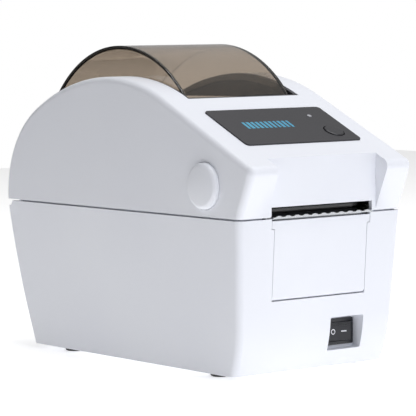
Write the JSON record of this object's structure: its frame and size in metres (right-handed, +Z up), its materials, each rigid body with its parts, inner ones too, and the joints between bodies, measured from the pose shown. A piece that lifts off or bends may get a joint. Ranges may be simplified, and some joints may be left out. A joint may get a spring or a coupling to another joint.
{
  "type": "thermal label printer",
  "caption": "Desktop thermal label printer with a hinged lid, smoked dome window, label slot with tear bar, fold-down front door and side release buttons.",
  "frame": {"origin": "on the table under the middle of the printer's bounding box", "axes": "+X to the right seen from the front, +Y to the back, +Z up; the label slot faces -Y"},
  "size_m": [0.1278, 0.2348, 0.1837],
  "materials": {
    "white_abs": "fine moulded texture",
    "dark_abs": "fine moulded texture",
    "smoked_polycarbonate": "polished",
    "panel_film": "satin",
    "lamp_diffuser": "frosted",
    "rocker_nylon": "satin",
    "foot_rubber": "matte",
    "platen_silicone": "ground",
    "turned_steel": "turned",
    "sheet_steel": "zinc plated",
    "heatsink_aluminium": "extruded",
    "gear_acetal": "moulded",
    "bush_bronze": "sintered",
    "circuit_board": "solder mask",
    "connector_black": "moulded",
    "motor_can": "satin",
    "ceramic_head": "glazed ceramic under a black cover",
    "spring_steel": "drawn wire"
  },
  "bodies": {
    "base": {"lower_housing": "white_abs", "bottom_plate": "white_abs", "rubber_feet": "foot_rubber", "base_screws": "sheet_steel", "connector_plate": "sheet_steel", "power_inlet": "connector_black", "usb_socket": "sheet_steel", "network_socket": "sheet_steel", "main_board": "circuit_board", "board_screws": "sheet_steel", "bay_liner": "dark_abs", "mechanism_chassis": "sheet_steel", "chassis_screws": "sheet_steel", "platen_bushes": "bush_bronze", "idler_stud": "turned_steel", "feed_motor": "motor_can", "tear_bar": "sheet_steel", "paper_guide": "dark_abs", "gap_sensor": "connector_black", "switch_body": "rocker_nylon", "hinge_pins": "turned_steel"},
    "lid": {"lid_shell": "white_abs", "window": "smoked_polycarbonate", "lid_liner": "dark_abs", "control_panel": "panel_film", "panel_board": "circuit_board", "feed_switch": "connector_black", "lamp_pipe": "lamp_diffuser", "head_frame": "sheet_steel", "head_screws": "sheet_steel", "release_bracket_left": "dark_abs", "release_bracket_right": "dark_abs", "head_springs": "spring_steel", "release_spring_left": "spring_steel", "release_spring_right": "spring_steel"},
    "print_head": {"head_heatsink": "heatsink_aluminium", "thermal_head": "ceramic_head"},
    "release_left": {"release_button_left": "white_abs", "latch_hook_left": "gear_acetal"},
    "release_right": {"release_button_right": "white_abs", "latch_hook_right": "gear_acetal"},
    "feed_key": {"feed_button": "panel_film"},
    "rocker": {"rocker": "rocker_nylon"},
    "front_door": {"front_door": "white_abs", "door_rod": "turned_steel"},
    "platen": {"platen_shaft": "turned_steel", "platen_rubber": "platen_silicone", "platen_gear": "gear_acetal"},
    "idler": {"idler_gear": "gear_acetal"},
    "motor_rotor": {"motor_shaft": "turned_steel", "motor_pinion": "bush_bronze"},
    "guide_left": {"media_guide_left": "dark_abs"},
    "guide_right": {"media_guide_right": "dark_abs"},
    "guide_pinion": {"guide_pinion": "gear_acetal"}
  },
  "joints": [
    {"name": "lid_hinge", "type": "hinge", "parent": "base", "child": "lid", "pos_m": [0, 0.1142, 0.09], "axis": [-1, 0, 0], "range_deg": [0, 85]},
    {"name": "head_tilt", "type": "hinge", "parent": "lid", "child": "print_head", "pos_m": [0, -0.074, 0.1], "axis": [-1, 0, 0], "range_deg": [0, 2.5], "stiffness_Nm_per_rad": 2, "springref_deg": -5.73, "deforming": ["head_springs"]},
    {"name": "release_left_press", "type": "slide", "parent": "lid", "child": "release_left", "axis": [1, 0, 0], "range_m": [0, 0.003], "stiffness_N_per_m": 600, "springref_m": -0.002, "deforming": ["release_spring_left"]},
    {"name": "release_right_press", "type": "slide", "parent": "lid", "child": "release_right", "axis": [-1, 0, 0], "range_m": [0, 0.003], "stiffness_N_per_m": 600, "springref_m": -0.002, "deforming": ["release_spring_right"]},
    {"name": "feed_key_press", "type": "slide", "parent": "lid", "child": "feed_key", "axis": [0, 0.4195, -0.9078], "range_m": [0, 0.001], "stiffness_N_per_m": 400, "springref_m": -0.0005},
    {"name": "mains_rocker", "type": "hinge", "parent": "base", "child": "rocker", "pos_m": [0.023, -0.0902, 0.0217], "axis": [0, 0, 1], "range_deg": [0, 14]},
    {"name": "front_door_fold", "type": "hinge", "parent": "base", "child": "front_door", "pos_m": [0, -0.1019, 0.0461], "axis": [1, 0, 0], "range_deg": [0, 75]},
    {"name": "platen_spin", "type": "hinge", "parent": "base", "child": "platen", "pos_m": [0, -0.094, 0.0843], "axis": [1, 0, 0], "continuous": true},
    {"name": "idler_spin", "type": "hinge", "parent": "base", "child": "idler", "pos_m": [0, -0.08698, 0.066], "axis": [1, 0, 0], "continuous": true},
    {"name": "motor_spin", "type": "hinge", "parent": "base", "child": "motor_rotor", "pos_m": [0, -0.07752, 0.05385], "axis": [1, 0, 0], "continuous": true},
    {"name": "guide_left_slide", "type": "slide", "parent": "base", "child": "guide_left", "axis": [1, 0, 0], "range_m": [-0.00503, 0.01508]},
    {"name": "guide_right_slide", "type": "slide", "parent": "base", "child": "guide_right", "axis": [1, 0, 0], "range_m": [-0.01508, 0.00503]},
    {"name": "guide_pinion_spin", "type": "hinge", "parent": "base", "child": "guide_pinion", "pos_m": [0, -0.061, 0.0716], "axis": [0, 0, 1], "range_deg": [-60.1, 180.1]}
  ],
  "couplings": [
    {"joint": "idler_spin", "follows": "platen_spin", "ratio": -0.75},
    {"joint": "motor_spin", "follows": "platen_spin", "ratio": 2},
    {"joint": "guide_right_slide", "follows": "guide_left_slide", "ratio": -1},
    {"joint": "guide_pinion_spin", "follows": "guide_left_slide", "rad_per_m": 208.33}
  ]
}
